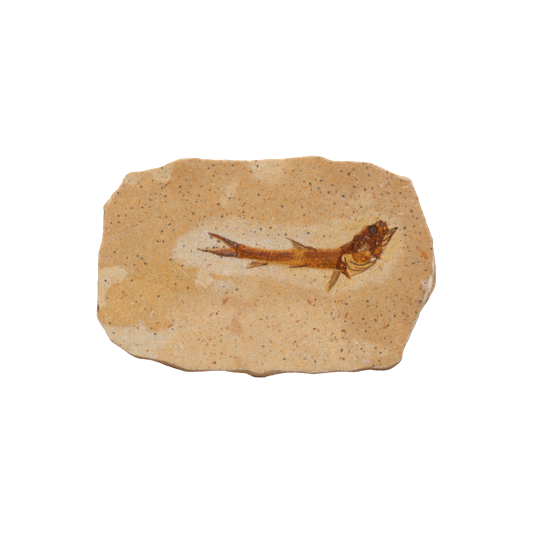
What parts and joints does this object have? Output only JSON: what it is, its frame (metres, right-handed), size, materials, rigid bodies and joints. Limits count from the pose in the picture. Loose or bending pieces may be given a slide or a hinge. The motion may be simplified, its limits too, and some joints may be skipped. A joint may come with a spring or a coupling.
{
  "type": "fossil fish",
  "caption": "Small fossil fish, crushed flat with its skull, fins and forked tail, on a thin split slab of limestone with a chipped, layered edge; lies flat on its underside.",
  "frame": {"origin": "centre of the slab's underside, at the middle of its plan", "axes": "+X along the slab from the fish's tail side to its head side, +Y across the slab towards the fish's back, +Z out of the split face"},
  "size_m": [0.1298, 0.085, 0.0101],
  "materials": {
    "limestone": "matte split limestone, buff to ochre with dark mineral specks",
    "fossil_bone": "glossy red-brown to amber mineralised bone"
  },
  "bodies": {
    "root": {"slab": "limestone", "fish": "fossil_bone"}
  },
  "joints": []
}
